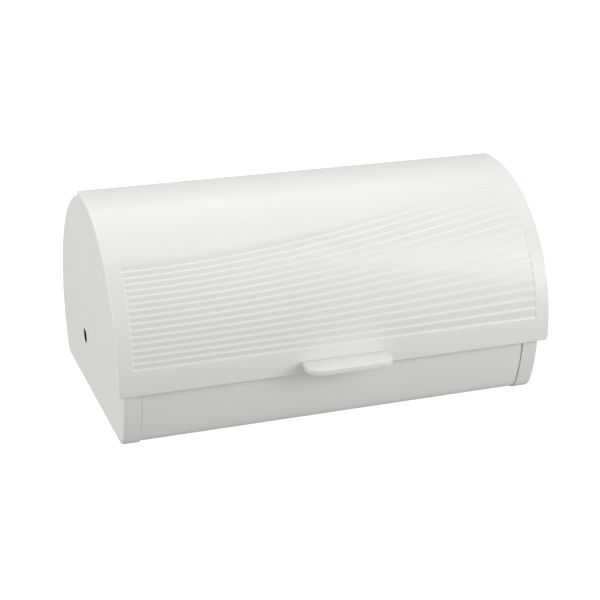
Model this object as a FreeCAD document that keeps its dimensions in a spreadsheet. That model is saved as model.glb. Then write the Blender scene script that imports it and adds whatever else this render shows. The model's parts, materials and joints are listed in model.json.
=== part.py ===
import FreeCAD, Part
import math
import os
import re

import Sketcher

# Bread box with a one-piece curved swing lid.
# +X runs along the width, the front faces -Y, +Z is up and Z = 0 is the table under the rubber feet.
# The origin is the middle of the closed box's outline, on the table. Sizes are millimetres and degrees.

DRIVING = [
    ("body_width", 390, "over the outer faces of the two side panels"),
    ("body_radius", 130.7, "round outline of a side panel"),
    ("axis_up", 59, "axis of that round above the side panel's underside"),
    ("foot_lift", 1.5, "side panel's underside above the table"),
    ("corner_round", 17, "bottom corners of the box, front and rear"),
    ("edge_round", 3, "outer edge of a side panel, all round"),
    ("panel_wall", 2.5, "moulded wall of a side panel"),
    ("rim_width", 16, "rim of a side panel, seen from the front"),
    ("rim_step", 1.1, "how far the sheets lie below the rim"),
    ("sheet_thick", 0.8, "steel sheet"),
    ("lap_gap", 0.1, "play between a sheet and the land it lies on"),
    ("seam_gap", 0.2, "gap between a sheet's end and the rim"),
    ("land_lap", 14, "how far the land reaches under the sheets"),
    ("land_wall", 2.3, "wall of the land"),
    ("panel_top", 62, "top of the front panel above the underside"),
    ("shell_lead", 8, "front edge of the back shell, ahead of the round's axis"),
    ("flange_deep", 8, "return flanges along the mouth"),
    ("foot_flange", 12, "flanges that lie on the base pan"),
    ("sheet_stop", 1.5, "lower edge of a curved sheet, short of where its bottom bend is level"),
    ("lid_overhang", 5, "lid past the outer face of each side panel"),
    ("lid_tighter", 0.9, "lid's outer radius less than the body's"),
    ("lid_forward", 8.75, "lid's own axis ahead of the body's axis"),
    ("lid_rise", 8.87, "lid's own axis above the body's axis"),
    ("lid_lower", 5.5, "lid's front edge below its axis, degrees"),
    ("lid_rear", 5.5, "lid's rear edge behind its crown, degrees"),
    ("lid_hem", 4, "turned-in hems along the front and rear edges"),
    ("lid_side_hem", 3.5, "turned-in hems along the ends"),
    ("lid_corner", 2.5, "rounded corners of the lid"),
    ("pivot_back", 25.7, "pivots behind the body's axis"),
    ("pivot_up", 50.5, "pivots above the underside"),
    ("pin_dia", 6, "pivot pin"),
    ("pin_fit", 0.05, "running clearance round the pin, on the radius"),
    ("pin_head_dia", 12, "head of the pin"),
    ("pin_head_thick", 3, "head of the pin"),
    ("recess_dia", 14, "recess for the head"),
    ("recess_deep", 5, "recess for the head"),
    ("boss_dia", 18, "pivot boss inside a side panel"),
    ("boss_long", 21.5, "end of that boss, in from the outer face"),
    ("spacer_dia", 16, "nylon washer between the boss and the arm"),
    ("spacer_thick", 2, "nylon washer between the boss and the arm"),
    ("side_play", 0.1, "axial play on each side of an arm"),
    ("nut_thick", 4, "lock nut"),
    ("nut_corners", 11.5, "lock nut over its corners"),
    ("pin_end", 1, "pin past the nut"),
    ("arm_thick", 2, "steel strip of a lid arm"),
    ("arm_width", 14, "steel strip of a lid arm"),
    ("arm_eye", 22, "eye of a lid arm"),
    ("arm_rise", 9, "closed arm above level, degrees"),
    ("arm_foot_long", 24, "welded foot of an arm, along the lid's curve"),
    ("arm_foot_wide", 18, "welded foot of an arm, along X"),
    ("arm_foot_thick", 1.5, "welded foot of an arm"),
    ("weld_gap", 0.05, "between an arm's foot or the handle and the lid"),
    ("handle_width", 79, "handle along X"),
    ("handle_reach", 24.4, "handle ahead of the lid's foremost line"),
    ("handle_thick", 6, "handle"),
    ("handle_corner", 12.5, "front corners of the handle"),
    ("handle_edge", 1.5, "rounded edges of the handle"),
    ("handle_drop", 0.5, "handle's top below the lid's axis"),
    ("handle_screw_pitch", 50, "between the two handle screws"),
    ("screw_dia", 3, "self-tapping screws"),
    ("screw_fit", 0.05, "play round a screw in its pilot, on the radius"),
    ("screw_hole", 3.4, "clearance holes in the sheets"),
    ("screw_head_dia", 6, "screw heads"),
    ("screw_head_thick", 1, "screw heads"),
    ("base_screw_long", 7, "screws up through the base pan"),
    ("rear_screw_long", 5, "screws through the back shell"),
    ("handle_screw_long", 10, "screws through the lid"),
    ("screw_boss_dia", 7, "bosses on the land for the base screws"),
    ("screw_boss_high", 6, "bosses on the land for the base screws"),
    ("base_screw_pitch", 80, "between base screws, front to back"),
    ("rear_screw_rise", 50, "upper rear screw above the lower one, degrees"),
    ("foot_dia", 16, "rubber foot"),
    ("foot_round", 0.8, "lower edge of a rubber foot"),
    ("foot_inset_x", 45, "centre of a foot, in from the outer face"),
    ("foot_pitch_y", 160, "between feet, front to back"),
    ("bumper_dia", 7, "rubber bumper under a closed arm"),
    ("stop_wide", 8, "rubber stop behind an open arm, along X"),
    ("stop_thick", 3, "rubber stop behind an open arm"),
    ("stop_below", 1, "top of that stop below the shell's edge"),
    ("rest_gap", 0.1, "between a resting arm and its rubber"),
]

DERIVED = [
    ("half_width", "body_width / 2", "outer face of a side panel from the middle"),
    ("lid_width", "body_width + 2 * lid_overhang", "lid along X"),
    ("lid_radius", "body_radius - lid_tighter", "outer face of the lid"),
    ("rim_x", "half_width - rim_width", "inner edge of a rim"),
    ("land_x", "rim_x - land_lap", "inner edge of a land"),
    ("screw_x", "land_x + land_lap / 2", "line of screws through a land"),
    ("sheet_span", "2 * (rim_x - seam_gap)", "length of the sheets"),
    ("clear_span", "2 * (land_x - 1)", "length of the flanges between the lands"),
    ("body_y", "(lid_forward + lid_radius + handle_reach - body_radius) / 2", "body's axis"),
    ("axis_z", "foot_lift + axis_up", "body's axis"),
    ("lid_y", "body_y - lid_forward", "lid's own axis"),
    ("lid_z", "axis_z + lid_rise", "lid's own axis"),
    ("pivot_y", "body_y + pivot_back", "pivot axis"),
    ("pivot_z", "foot_lift + pivot_up", "pivot axis"),
    ("bend_out", "sqrt((body_radius - corner_round)^2 - (axis_up - corner_round)^2)",
     "bottom corners' centres from the body's axis, along Y"),
    ("bend_z", "foot_lift + corner_round", "bottom corners' centres"),
    ("sheet_outer", "body_radius - rim_step", "outer face of the curved sheets"),
    ("sheet_inner", "sheet_outer - sheet_thick", "inner face of the curved sheets"),
    ("pan_low", "foot_lift + rim_step", "underside of the base pan"),
    ("pan_top", "pan_low + sheet_thick", "inside of the base pan"),
    ("sheet_inset", "rim_step + sheet_thick", "inner face of the sheets inside the box's outline"),
    ("land_inset", "sheet_inset + lap_gap", "outer face of a land inside the box's outline"),
    ("land_outer", "body_radius - land_inset", "outer face of a land"),
    ("land_inner", "land_outer - land_wall", "inner face of a land"),
    ("land_low", "foot_lift + land_inset", "underside of a land"),
    ("mouth_low", "foot_lift + panel_top", "top of the front panel"),
    ("mouth_front", "body_y - sqrt(sheet_outer^2 - (mouth_low - axis_z)^2)", "its outer edge"),
    ("mouth_rear", "body_y - shell_lead", "front edge of the back shell"),
    ("mouth_high", "axis_z + sqrt(sheet_outer^2 - shell_lead^2)", "its outer edge"),
    ("lid_inner", "lid_radius - sheet_thick", "inner face of the lid"),
    ("hem_turn", "sheet_thick / lid_radius * 180 / pi", "one sheet's thickness on the lid, degrees"),
    ("corner_turn", "lid_corner / lid_radius * 180 / pi", "corner round on the lid, degrees"),
    ("pin_seat_x", "half_width - recess_deep", "floor of a pin's recess"),
    ("spacer_x", "half_width - boss_long", "outer face of a spacer"),
    ("arm_x", "spacer_x - spacer_thick - side_play", "outer face of an arm"),
    ("arm_mid_x", "arm_x - arm_thick / 2", "middle of an arm"),
    ("nut_x", "arm_x - arm_thick - side_play", "outer face of a nut"),
    ("pin_long", "pin_seat_x - nut_x + nut_thick + pin_end", "pin under its head"),
    ("foot_inner", "lid_inner - weld_gap - arm_foot_thick", "inner face of an arm's foot"),
    ("foot_outer", "lid_inner - weld_gap", "outer face of an arm's foot"),
    ("foot_middle", "foot_outer - arm_foot_thick / 2", "where a strip ends inside its foot"),
    ("pivot_behind", "pivot_back + lid_forward", "pivot behind the lid's axis"),
    ("pivot_below", "lid_z - pivot_z", "pivot below the lid's axis"),
    ("arm_base", "pivot_behind * cos(arm_rise) + pivot_below * sin(arm_rise)", "lid's axis along an arm"),
    ("handle_top", "lid_z - handle_drop", "top of the handle"),
    ("handle_low", "handle_top - handle_thick", "underside of the handle"),
    ("handle_mid", "handle_top - handle_thick / 2", "height of the handle screws"),
    ("handle_front", "lid_y - lid_radius - handle_reach", "front of the handle"),
    ("head_drop", "handle_drop + (handle_thick + screw_head_dia) / 2", "lower edge of a handle screw's head"),
    ("handle_seat", "lid_y - sqrt(lid_inner^2 - head_drop^2)", "lid's inside where that head touches it"),
    ("bumper_y", "mouth_front + flange_deep / 2", "bumper on the front panel's flange"),
    ("bumper_rear", "bumper_y + bumper_dia / 2", "rear of that bumper"),
    ("arm_under", "pivot_z + (pivot_y - bumper_rear) * tan(arm_rise) - arm_width / 2 / cos(arm_rise)",
     "closed arm's lower edge there"),
    ("foot_x", "half_width - foot_inset_x", "centre of a foot"),
]

doc = FreeCAD.newDocument("bread_box")
sheet = doc.addObject("Spreadsheet::Sheet", "Sizes")
names = set()


def fill_sheet():
    """Write each size in a row of its own: what it is, its value, and the value's alias."""
    rows = [(alias, str(value), note) for alias, value, note in DRIVING]
    rows += [(alias, "=" + formula, note) for alias, formula, note in DERIVED]
    for row, (alias, value, note) in enumerate(rows, start=1):
        sheet.set(f"A{row}", note)
        sheet.set(f"B{row}", value)
        sheet.setAlias(f"B{row}", alias)
        names.add(alias)
    doc.recompute()


def named(expression):
    """The same expression with the sheet's name before each alias, as other objects need it."""
    return re.sub(r"[a-z_]\w*", lambda word: ("Sizes." if word[0] in names else "") + word[0], str(expression))


def number(expression):
    return float(sheet.evalExpression(named(expression)))


def bind(thing, name, expression):
    thing.setExpression(name, named(expression))


def place(thing, x, y, z, turns=()):
    """Bind a placement: where the object's origin goes, after turns given as (axis, degrees)."""
    base = f"create(<<vector>>; {x}; {y}; {z})"
    spins = [f"create(<<rotation>>; create(<<vector>>; {axis}); {angle})" for axis, angle in turns]
    spin = " * ".join(spins) or "create(<<rotation>>; create(<<vector>>; 0; 0; 1); 0)"
    bind(thing, "Placement", f"create(<<placement>>; {base}; {spin})")


# ------------------------------------------------------------------ sketches and features


def sketch_on(body, name, plane, offset):
    """An empty sketch on one of the body's own origin planes, moved along that plane's normal."""
    sketch = body.newObject("Sketcher::SketchObject", name)
    origin = [feature for feature in body.Origin.OriginFeatures if feature.Role == plane]
    sketch.AttachmentSupport = [(origin[0], "")]
    sketch.MapMode = "FlatFace"
    bind(sketch, "AttachmentOffset.Base.z", offset)
    return sketch


def hold_point(sketch, edge, end, point):
    """Hold one end of an edge, or a circle's centre, at a point measured from the sketch's origin."""
    for kind, expression in zip(("DistanceX", "DistanceY"), point):
        constraint = Sketcher.Constraint(kind, -1, 1, edge, end, number(expression))
        bind(sketch, f"Constraints[{sketch.addConstraint(constraint)}]", expression)


def outline(body, name, plane, offset, corners, arcs=None):
    """A closed outline through the corners. arcs gives, for the edge after a corner, (radius, centre).
    An edge whose arc runs past a half turn has "big" as a third item."""
    sketch = sketch_on(body, name, plane, offset)
    points = [FreeCAD.Vector(number(across), number(up), 0) for across, up in corners]
    ends = []
    for edge, start in enumerate(points):
        stop = points[(edge + 1) % len(points)]
        if edge not in (arcs or {}):
            sketch.addGeometry(Part.LineSegment(start, stop), False)
            ends.append((1, 2))
            continue
        radius, centre, *size = arcs[edge]
        middle = FreeCAD.Vector(number(centre[0]), number(centre[1]), 0)
        first, last = [math.atan2((p - middle).y, (p - middle).x) for p in (start, stop)]
        forward = ((last - first) % math.tau < math.pi) != bool(size)
        if not forward:
            first, last = last, first
        circle = Part.Circle(middle, FreeCAD.Vector(0, 0, 1), number(radius))
        sketch.addGeometry(Part.ArcOfCircle(circle, first, last), False)
        ends.append((1, 2) if forward else (2, 1))
    for edge in range(len(points)):
        after = (edge + 1) % len(points)
        sketch.addConstraint(Sketcher.Constraint("Coincident", edge, ends[edge][1], after, ends[after][0]))
    for edge, corner in enumerate(corners):
        hold_point(sketch, edge, ends[edge][0], corner)
    for edge, (radius, *_) in (arcs or {}).items():
        constraint = Sketcher.Constraint("Radius", edge, number(radius))
        bind(sketch, f"Constraints[{sketch.addConstraint(constraint)}]", radius)
    return sketch


def circles(body, name, plane, offset, rounds):
    """Full circles, each given as (diameter, across, up)."""
    sketch = sketch_on(body, name, plane, offset)
    for edge, (diameter, across, up) in enumerate(rounds):
        middle = FreeCAD.Vector(number(across), number(up), 0)
        sketch.addGeometry(Part.Circle(middle, FreeCAD.Vector(0, 0, 1), number(diameter) / 2), False)
        hold_point(sketch, edge, 3, (across, up))
        constraint = Sketcher.Constraint("Diameter", edge, number(diameter))
        bind(sketch, f"Constraints[{sketch.addConstraint(constraint)}]", diameter)
    return sketch


def extrude(kind, body, sketch, length, way=1):
    """A Pad or a Pocket. way is 1 or -1 along the sketch's normal, or 0 for both ways alike."""
    feature = body.newObject(f"PartDesign::{kind}", sketch.Name.replace("_sketch", ""))
    feature.Profile = sketch
    bind(feature, "Length", length)
    if way == 0:
        feature.SideType = "Symmetric"
    elif (way < 0) == (kind == "Pad"):
        feature.Reversed = True
    doc.recompute()
    if feature.Shape.isNull() or not feature.Shape.isValid():
        raise RuntimeError(f"{feature.Name} has no valid shape")
    return feature


def pad(body, sketch, length, way=1):
    return extrude("Pad", body, sketch, length, way)


def pocket(body, sketch, length, way=1):
    before = body.Shape.Volume
    feature = extrude("Pocket", body, sketch, length, way)
    if body.Shape.Volume > before - 0.1:
        raise RuntimeError(f"{feature.Name} cuts nothing")
    return feature


def round_edges(body, name, radius, wanted):
    """Fillet those edges of the body that wanted(edge) picks."""
    base = body.Tip
    picked = [f"Edge{i}" for i, edge in enumerate(base.Shape.Edges, start=1) if wanted(edge)]
    fillet = body.newObject("PartDesign::Fillet", name)
    fillet.Base = (base, picked)
    bind(fillet, "Radius", radius)
    doc.recompute()
    return fillet


def new_body(label):
    body = doc.addObject("PartDesign::Body", label)
    body.Label = label
    return body


def rod(name, diameter, length, spot, turns=()):
    """A plain cylinder that starts at spot and runs along its own Z."""
    cylinder = doc.addObject("Part::Cylinder", name)
    bind(cylinder, "Radius", f"({diameter}) / 2")
    bind(cylinder, "Height", length)
    place(cylinder, *spot, turns)
    return cylinder


def joined(label, pieces):
    union = doc.addObject("Part::MultiFuse", label)
    union.Shapes = pieces
    union.Label = label
    return union


def cut_away(label, base, tools):
    """The base less every tool, as the node of that name."""
    base.Label = f"{label}_blank"
    cutter = tools[0] if len(tools) == 1 else joined(f"{label}_holes", tools)
    result = doc.addObject("Part::Cut", label)
    result.Base = base
    result.Tool = cutter
    result.Label = label
    return result


# ------------------------------------------------------------------ shared geometry


def chord(radius, height):
    """Half the width of the body's round of that radius at that height."""
    return f"sqrt(({radius})^2 - (({height}) - axis_z)^2)"


def on_lid(radius, angle):
    """A point on the lid's round, its angle counted up from the level line to the front."""
    return f"lid_y - ({radius}) * cos({angle})", f"lid_z + ({radius}) * sin({angle})"


def on_arm(offset, radius):
    """Where the line along an arm, offset upwards across it, meets the lid's round of that radius."""
    tilt = "(pivot_behind * sin(arm_rise) - pivot_below * cos(arm_rise))"
    along = f"(arm_base + sqrt((arm_base)^2 - pivot_behind^2 - pivot_below^2 - ({offset})^2"
    along += f" - 2 * ({offset}) * {tilt} + ({radius})^2))"
    return beside_arm(offset, along)


def beside_arm(offset, along):
    """A point given by its distance along an arm from the pivot and its offset upwards across it."""
    across = f"pivot_y - ({along}) * cos(arm_rise) + ({offset}) * sin(arm_rise)"
    up = f"pivot_z + ({along}) * sin(arm_rise) + ({offset}) * cos(arm_rise)"
    return across, up


BODY_AXIS = ("body_y", "axis_z")
LID_AXIS = ("lid_y", "lid_z")
SIDES = (("left", -1), ("right", 1))
ROWS = (("front", -1), ("rear", 1))
BASE_SCREWS = [(side, step) for side in (-1, 1) for step in (-1, 0, 1)]
REAR_SCREWS = [(side, step) for side in (-1, 1) for step in (0, 1)]


def bottom_corner(way, inset):
    """A bottom corner of the outline that lies inset inside the box's own: where its round leaves the
    body's round, where it meets the level bottom, and the arc between them."""
    middle = (f"body_y + {way} * bend_out", "bend_z")
    reach = f"(body_radius - ({inset})) / (body_radius - corner_round)"
    high = (f"body_y + {way} * bend_out * {reach}", f"axis_z + (bend_z - axis_z) * {reach}")
    return high, (middle[0], f"foot_lift + {inset}"), (f"corner_round - ({inset})", middle)


def on_bend(way, inset, out):
    """The point of that corner round which lies out beyond the round's centre."""
    return f"body_y + {way} * (bend_out + {out})", f"bend_z - sqrt((corner_round - ({inset}))^2 - ({out})^2)"


def d_outline(inset):
    """Corners and arcs of the whole outline that lies inset inside the box's own."""
    front_high, front_low, front_arc = bottom_corner(-1, inset)
    rear_high, rear_low, rear_arc = bottom_corner(1, inset)
    arcs = {1: rear_arc, 2: (f"body_radius - ({inset})", BODY_AXIS, "big"), 3: front_arc}
    return [front_low, rear_low, rear_high, front_high], arcs


def rear_turn(step):
    """The angle of a rear screw above the level line to the rear."""
    return f"{step} * rear_screw_rise"


def rear_rod(name, diameter, length, start, side, step):
    """A rod along a rear screw's line, from the radius start outwards."""
    turn = rear_turn(step)
    spot = (f"{side} * screw_x", f"body_y + ({start}) * cos({turn})", f"axis_z + ({start}) * sin({turn})")
    return rod(name, diameter, length, spot, [("1; 0; 0", f"{turn} - 90")])


# ------------------------------------------------------------------ the fixed box


def side_panel(name, side):
    """Moulded end of the box: a D-shaped tray with a land for the sheets, a pivot boss and screw bosses."""
    label = f"side_panel_{name}"
    body = new_body(label)
    outer = ("YZ_Plane", f"{side} * half_width")
    sketch = outline(body, f"{label}_block_sketch", *outer, *d_outline("0"))
    pad(body, sketch, "rim_width", -side)
    face = side * number("half_width")
    on_face = lambda edge: abs(edge.BoundBox.XMin - face) < 1e-6 and abs(edge.BoundBox.XMax - face) < 1e-6
    round_edges(body, f"{label}_edge", "edge_round", on_face)

    sketch = outline(body, f"{label}_hollow_sketch", "YZ_Plane", f"{side} * rim_x", *d_outline("panel_wall"))
    pocket(body, sketch, "rim_width - panel_wall", side)

    land_rear = "mouth_rear + sheet_thick + lap_gap"
    land_top = "mouth_low - sheet_thick - lap_gap"
    outer_bends = [bottom_corner(way, "land_inset") for way in (-1, 1)]
    inner_bends = [bottom_corner(way, "land_inset + land_wall") for way in (-1, 1)]
    corners = [
        (f"body_y - {chord('land_outer', land_top)}", land_top),
        *outer_bends[0][:2],
        *outer_bends[1][1::-1],
        (land_rear, f"axis_z + sqrt(land_outer^2 - ({land_rear} - body_y)^2)"),
        (land_rear, f"axis_z + sqrt(land_inner^2 - ({land_rear} - body_y)^2)"),
        *inner_bends[1][:2],
        *inner_bends[0][1::-1],
        (f"body_y - {chord('land_inner', land_top)}", land_top),
    ]
    arcs = {edge: (radius, BODY_AXIS) for edge, radius in
            ((0, "land_outer"), (4, "land_outer"), (6, "land_inner"), (10, "land_inner"))}
    arcs |= {1: outer_bends[0][2], 3: outer_bends[1][2], 7: inner_bends[1][2], 9: inner_bends[0][2]}
    sketch = outline(body, f"{label}_land_sketch", "YZ_Plane", f"{side} * land_x", corners, arcs)
    pad(body, sketch, "land_lap + rim_width - panel_wall", side)

    boss = circles(body, f"{label}_boss_sketch", "YZ_Plane", f"{side} * spacer_x",
                   [("boss_dia", "pivot_y", "pivot_z")])
    pad(body, boss, "boss_long - panel_wall", side)
    spots = [(f"{side} * screw_x", f"body_y + {step} * base_screw_pitch") for step in (-1, 0, 1)]
    bosses = circles(body, f"{label}_screw_bosses_sketch", "XY_Plane", "land_low",
                     [("screw_boss_dia", *spot) for spot in spots])
    pad(body, bosses, "land_wall + screw_boss_high", 1)
    pilots = circles(body, f"{label}_pilots_sketch", "XY_Plane", "land_low",
                     [("screw_dia + 2 * screw_fit", *spot) for spot in spots])
    pocket(body, pilots, "land_wall + screw_boss_high", 1)
    recess = circles(body, f"{label}_recess_sketch", *outer, [("recess_dia", "pivot_y", "pivot_z")])
    pocket(body, recess, "recess_deep", -side)
    bore = circles(body, f"{label}_bore_sketch", *outer, [("pin_dia + 2 * pin_fit", "pivot_y", "pivot_z")])
    pocket(body, bore, "boss_long", -side)
    tools = [rear_rod(f"{label}_rear_pilot_{step}", "screw_dia + 2 * screw_fit", "land_wall + 2",
                      "land_inner - 1", side, step) for step in (0, 1)]
    return cut_away(label, body, tools)


def bottom_bend(way):
    """The four corners of a curved sheet's outline round its bottom bend, and all of the sheet's arcs."""
    outer_high, _, outer_arc = bottom_corner(way, "rim_step")
    inner_high, _, inner_arc = bottom_corner(way, "sheet_inset")
    corners = [outer_high, on_bend(way, "rim_step", "sheet_stop"),
               on_bend(way, "sheet_inset", "sheet_stop"), inner_high]
    return corners, {0: ("sheet_outer", BODY_AXIS), 1: outer_arc, 3: inner_arc, 4: ("sheet_inner", BODY_AXIS)}


def front_panel():
    """Low curved sheet across the front, with a return flange on top and a flange on the base pan."""
    body = new_body("front_panel")
    under_flange = "mouth_low - sheet_thick"
    bend, arcs = bottom_bend(-1)
    corners = [
        ("mouth_front", "mouth_low"),
        *bend,
        (f"body_y - {chord('sheet_inner', under_flange)}", under_flange),
        ("mouth_front + flange_deep", under_flange),
        ("mouth_front + flange_deep", "mouth_low"),
    ]
    pad(body, outline(body, "front_panel_sheet_sketch", "YZ_Plane", "0", corners, arcs), "sheet_span", 0)
    bottom_flange(body, "front_panel", -1)
    return body


def bottom_flange(body, label, way):
    """The flange of a curved sheet that lies on the base pan, between the lands."""
    start = f"body_y + {way} * (bend_out + sqrt(2 * (corner_round - sheet_inset) * sheet_thick))"
    stop = f"body_y + {way} * (bend_out - foot_flange)"
    top = "pan_top + sheet_thick"
    corners = [(start, "pan_top"), (stop, "pan_top"), (stop, top), (start, top)]
    pad(body, outline(body, f"{label}_foot_sketch", "YZ_Plane", "0", corners), "clear_span", 0)


def back_shell():
    """Curved sheet from under the lid's rear edge, down the back, with a flange at each end."""
    body = new_body("back_shell")
    behind = "mouth_rear + sheet_thick"
    flange_low = "mouth_high - flange_deep"
    bend, arcs = bottom_bend(1)
    corners = [
        ("mouth_rear", "mouth_high"),
        *bend,
        (behind, f"axis_z + sqrt(sheet_inner^2 - ({behind} - body_y)^2)"),
        (behind, flange_low),
        ("mouth_rear", flange_low),
    ]
    pad(body, outline(body, "back_shell_sheet_sketch", "YZ_Plane", "0", corners, arcs), "sheet_span", 0)
    bottom_flange(body, "back_shell", 1)
    tools = [rear_rod(f"back_shell_hole_{side}_{step}", "screw_hole", "sheet_thick + 2",
                      "sheet_inner - 1", side, step) for side, step in REAR_SCREWS]
    return cut_away("back_shell", body, tools)


def base_pan():
    """Flat sheet between the two curved ones, with holes for the screws into the side panels."""
    plate = doc.addObject("Part::Box", "base_pan_plate")
    half = "(bend_out + sheet_stop - lap_gap)"
    bind(plate, "Length", "sheet_span")
    bind(plate, "Width", f"2 * {half}")
    bind(plate, "Height", "sheet_thick")
    place(plate, "-sheet_span / 2", f"body_y - {half}", "pan_low")
    tools = [rod(f"base_pan_hole_{index}", "screw_hole", "sheet_thick + 2",
                 (f"{side} * screw_x", f"body_y + {step} * base_screw_pitch", "pan_low - 1"))
             for index, (side, step) in enumerate(BASE_SCREWS)]
    return cut_away("base_pan", plate, tools)


def rubber_foot(row, way, name, side):
    """Stuck-on rubber disc under the base pan."""
    body = new_body(f"foot_{row}_{name}")
    pad(body, circles(body, f"{body.Name}_disc_sketch", "XY_Plane", "0", [("foot_dia", "0", "0")]), "pan_low")
    lowest = lambda edge: edge.BoundBox.ZMax < 1e-6
    round_edges(body, f"{body.Name}_edge", "foot_round", lowest)
    place(body, f"{side} * foot_x", f"body_y + {way} * foot_pitch_y / 2", "0")
    return body


def base_screws():
    """Self-tapping screws up through the base pan into the side panels' bosses."""
    pieces = []
    for index, (side, step) in enumerate(BASE_SCREWS):
        across = (f"{side} * screw_x", f"body_y + {step} * base_screw_pitch")
        pieces.append(rod(f"base_screw_head_{index}", "screw_head_dia", "screw_head_thick",
                          (*across, "pan_low - screw_head_thick")))
        pieces.append(rod(f"base_screw_shank_{index}", "screw_dia", "base_screw_long", (*across, "pan_low")))
    return joined("base_screws", pieces)


def rear_screws():
    """Self-tapping screws through the back shell into the side panels' lands."""
    pieces = []
    for index, (side, step) in enumerate(REAR_SCREWS):
        pieces.append(rear_rod(f"rear_screw_head_{index}", "screw_head_dia", "screw_head_thick",
                               "sheet_outer", side, step))
        pieces.append(rear_rod(f"rear_screw_shank_{index}", "screw_dia", "rear_screw_long",
                               "sheet_outer - rear_screw_long", side, step))
    return joined("rear_screws", pieces)


# ------------------------------------------------------------------ the two pivots


def pivot_pin(name, side):
    """Turned pin: a flat head in the side panel's recess and a plain shank. Its own X points outwards."""
    body = new_body(f"pivot_pin_{name}")
    corners = [
        ("0 - pin_long", "0"),
        ("pin_head_thick", "0"),
        ("pin_head_thick", "pin_head_dia / 2"),
        ("0", "pin_head_dia / 2"),
        ("0", "pin_dia / 2"),
        ("0 - pin_long", "pin_dia / 2"),
    ]
    sketch = outline(body, f"{body.Name}_sketch", "XY_Plane", "0", corners)
    turned = body.newObject("PartDesign::Revolution", f"{body.Name}_turned")
    turned.Profile = sketch
    turned.ReferenceAxis = (sketch, ["H_Axis"])
    turned.Angle = 360
    place(body, f"{side} * pin_seat_x", "pivot_y", "pivot_z", [("0; 0; 1", f"90 - {side} * 90")])
    return body


def pivot_spacer(name, side):
    """Nylon washer between the boss and the arm."""
    body = new_body(f"pivot_spacer_{name}")
    rounds = [("spacer_dia", "0", "0"), ("pin_dia + 2 * pin_fit", "0", "0")]
    pad(body, circles(body, f"{body.Name}_ring_sketch", "YZ_Plane", "0", rounds), "spacer_thick", -side)
    place(body, f"{side} * spacer_x", "pivot_y", "pivot_z")
    return body


def pivot_nut(name, side):
    """Lock nut on the pin's inner end."""
    label = f"pivot_nut_{name}"
    prism = doc.addObject("Part::Prism", f"{label}_prism")
    prism.Polygon = 6
    bind(prism, "Circumradius", "nut_corners / 2")
    bind(prism, "Height", "nut_thick")
    inwards = [("0; 1; 0", f"-{side} * 90")]
    place(prism, f"{side} * nut_x", "pivot_y", "pivot_z", inwards)
    bore = rod(f"{label}_bore", "pin_dia + 2 * pin_fit", "nut_thick + 2",
               (f"{side} * (nut_x + 1)", "pivot_y", "pivot_z"), inwards)
    return cut_away(label, prism, [bore])


# ------------------------------------------------------------------ rubbers that the arms rest on


def closed_bumper(name, side):
    """Rubber button on the front panel's flange, under the closed arm."""
    body = new_body(f"bumper_closed_{name}")
    disc = circles(body, f"{body.Name}_disc_sketch", "XY_Plane", "0", [("bumper_dia", "0", "0")])
    pad(body, disc, "arm_under - rest_gap - mouth_low")
    place(body, f"{side} * arm_mid_x", "bumper_y", "mouth_low")
    return body


def open_stop(name, side):
    """Rubber block on the back shell's flange, behind the open arm."""
    block = doc.addObject("Part::Box", f"stop_open_{name}")
    block.Label = f"stop_open_{name}"
    bind(block, "Length", "stop_wide")
    bind(block, "Width", "stop_thick")
    bind(block, "Height", "flange_deep - stop_below")
    place(block, f"{side} * arm_mid_x - stop_wide / 2", "mouth_rear - stop_thick", "mouth_high - flange_deep")
    return block


# ------------------------------------------------------------------ the swinging lid


def lid():
    """Curved sheet with rounded corners and turned-in hems on all four edges."""
    body = new_body("lid")
    front, rear = "-lid_lower", "90 + lid_rear"
    corners = [on_lid("lid_radius", front), on_lid("lid_radius", rear),
               on_lid("lid_inner", rear), on_lid("lid_inner", front)]
    arcs = {0: ("lid_radius", LID_AXIS), 2: ("lid_inner", LID_AXIS)}
    pad(body, outline(body, "lid_sheet_sketch", "YZ_Plane", "0", corners, arcs), "lid_width", 0)
    thickness = number("sheet_thick")
    round_edges(body, "lid_corners", "lid_corner", lambda edge: abs(edge.Length - thickness) < 1e-4)

    middle, deep = "lid_radius - sheet_thick / 2", "lid_radius - lid_hem"
    for name, edge, inside in (("front", front, f"{front} + hem_turn"), ("rear", rear, f"{rear} - hem_turn")):
        corners = [on_lid(middle, edge), on_lid(deep, edge), on_lid(deep, inside), on_lid(middle, inside)]
        sketch = outline(body, f"lid_hem_{name}_sketch", "YZ_Plane", "0", corners)
        pad(body, sketch, "lid_width - 2 * lid_corner", 0)
    front, rear = f"{front} + corner_turn", f"{rear} - corner_turn"
    deep = "lid_radius - lid_side_hem"
    for name, side in SIDES:
        corners = [on_lid(middle, front), on_lid(middle, rear), on_lid(deep, rear), on_lid(deep, front)]
        arcs = {0: (middle, LID_AXIS), 2: (deep, LID_AXIS)}
        sketch = outline(body, f"lid_end_{name}_sketch", "YZ_Plane", f"{side} * lid_width / 2", corners, arcs)
        pad(body, sketch, "sheet_thick", -side)
    forward = [("1; 0; 0", "90")]
    tools = [rod(f"lid_hole_{name}", "screw_hole", "sheet_thick + 2",
                 (f"{side} * handle_screw_pitch / 2", "handle_seat + 1", "handle_mid"), forward)
             for name, side in SIDES]
    return cut_away("lid", body, tools)


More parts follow.
